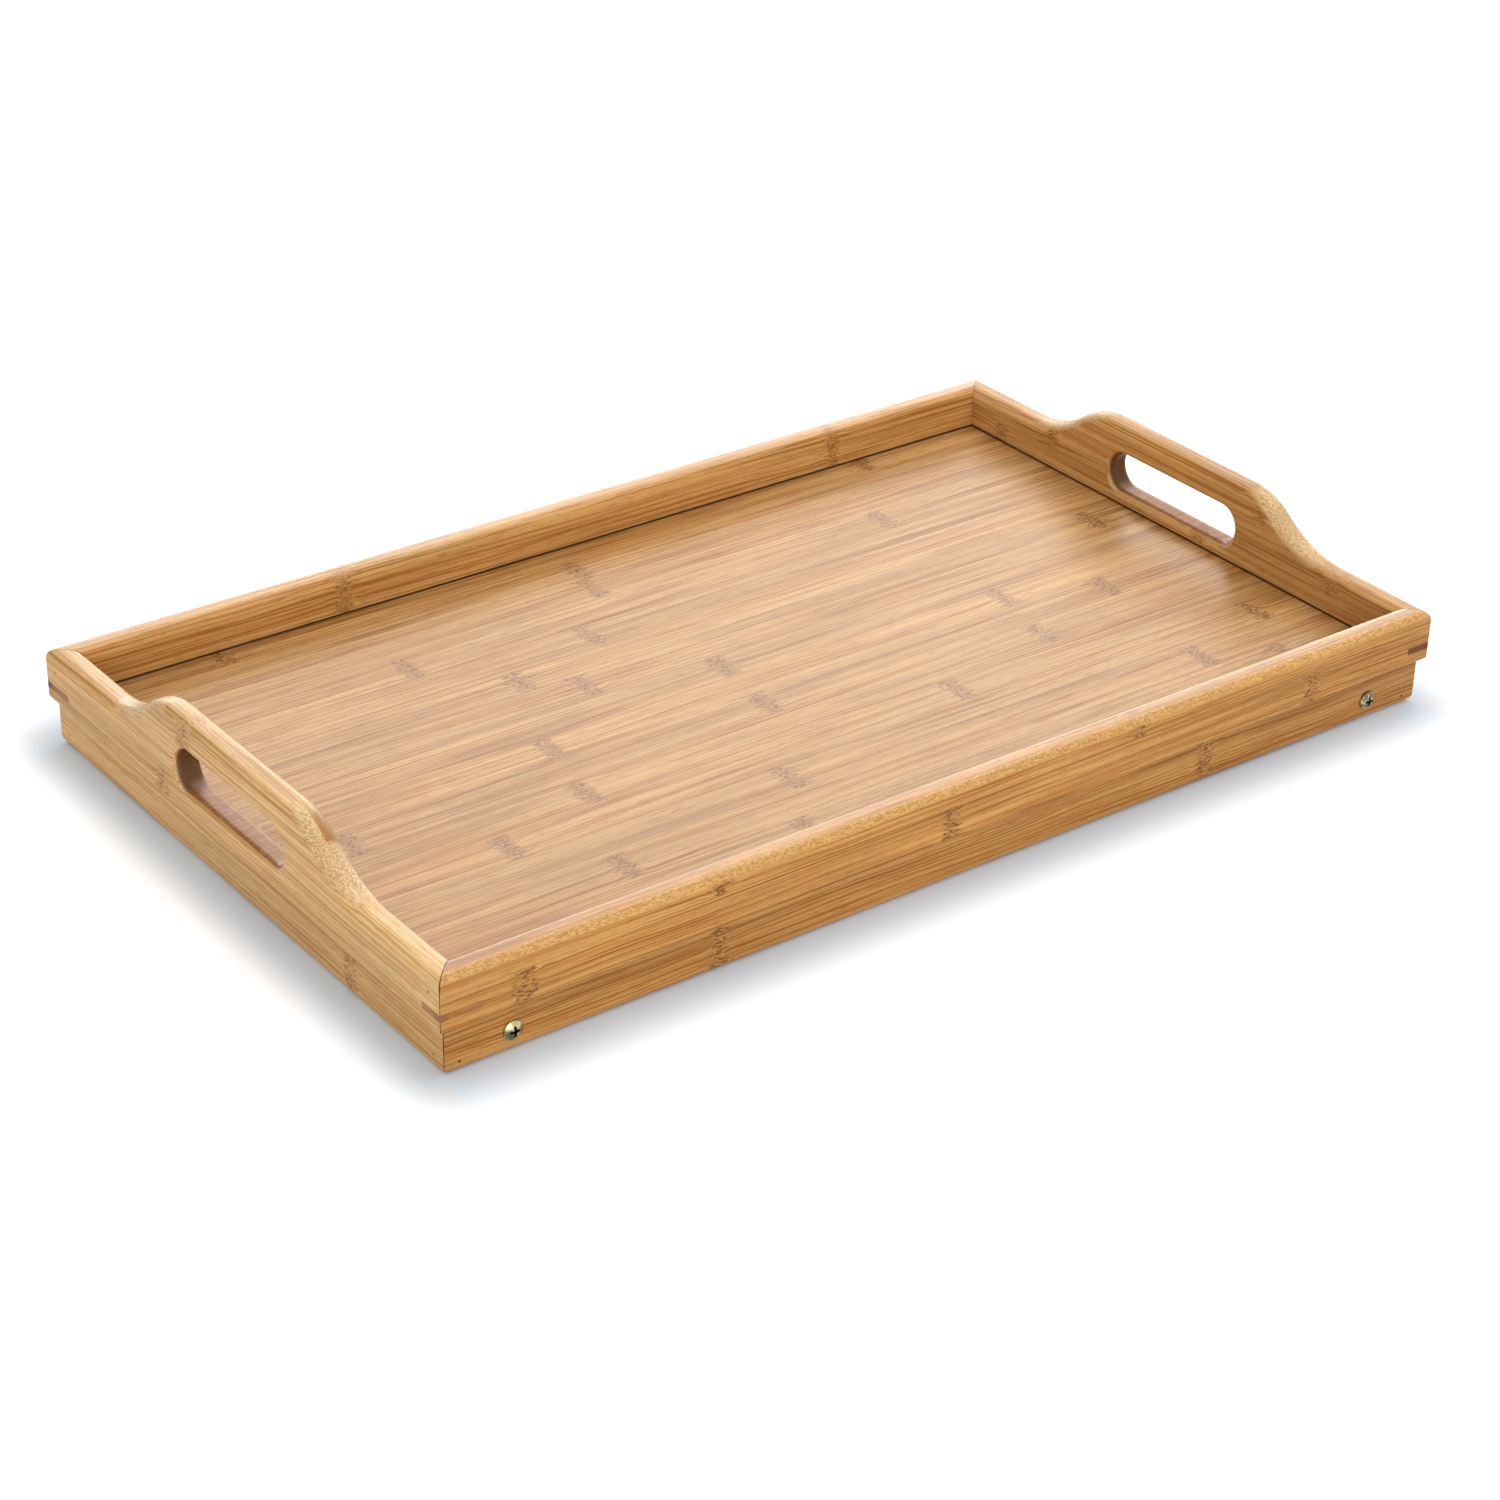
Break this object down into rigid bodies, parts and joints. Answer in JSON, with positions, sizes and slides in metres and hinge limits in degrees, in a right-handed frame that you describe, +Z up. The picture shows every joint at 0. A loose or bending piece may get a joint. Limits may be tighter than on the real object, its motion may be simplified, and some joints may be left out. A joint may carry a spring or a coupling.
{
  "type": "folding bed tray table",
  "caption": "Rectangular bamboo bed tray with mitred rails, end rails that rise into slotted handles, a thin deck panel, and two leg frames that fold flat beneath it.",
  "frame": {"origin": "centre of the tray's footprint, on the surface it rests on with its legs folded", "axes": "+X along the long side to the right handle, +Y from the front rail to the back rail, +Z up"},
  "size_m": [0.5, 0.303, 0.064],
  "materials": {
    "long_rail_bamboo": "satin lacquer on carbonised laminated bamboo, grain along X",
    "end_rail_bamboo": "satin lacquer on laminated bamboo, grain along Y",
    "deck_bamboo": "satin lacquer on bamboo strip panel, strips along X",
    "key_bamboo": "dark bamboo, sanded flush",
    "leg_bamboo": "satin lacquer on laminated bamboo",
    "dowel_wood": "plain turned dowel",
    "brad_steel": "dull nail steel",
    "yellow_zinc": "yellow passivated zinc",
    "bright_zinc": "clear zinc"
  },
  "bodies": {
    "tray": {"front_rail": "long_rail_bamboo", "back_rail": "long_rail_bamboo", "left_end_rail": "end_rail_bamboo", "right_end_rail": "end_rail_bamboo", "deck_panel": "deck_bamboo", "front_left_key": "key_bamboo", "front_right_key": "key_bamboo", "back_right_key": "key_bamboo", "back_left_key": "key_bamboo", "corner_brads": "brad_steel", "pivot_screws": "yellow_zinc", "rail_washers": "bright_zinc", "leg_washers": "bright_zinc", "pivot_lock_nuts": "bright_zinc"},
    "left_leg_frame": {"left_front_leg": "leg_bamboo", "left_back_leg": "leg_bamboo", "left_foot_bar": "leg_bamboo", "left_stretcher": "leg_bamboo", "left_frame_dowels": "dowel_wood"},
    "right_leg_frame": {"right_front_leg": "leg_bamboo", "right_back_leg": "leg_bamboo", "right_foot_bar": "leg_bamboo", "right_stretcher": "leg_bamboo", "right_frame_dowels": "dowel_wood"}
  },
  "joints": [
    {"name": "left_leg_fold", "type": "hinge", "parent": "tray", "child": "left_leg_frame", "pos_m": [-0.218, 0, 0.0095], "axis": [0, 1, 0], "range_deg": [0, 95]},
    {"name": "right_leg_fold", "type": "hinge", "parent": "tray", "child": "right_leg_frame", "pos_m": [0.218, 0, 0.0095], "axis": [0, -1, 0], "range_deg": [0, 95]}
  ]
}
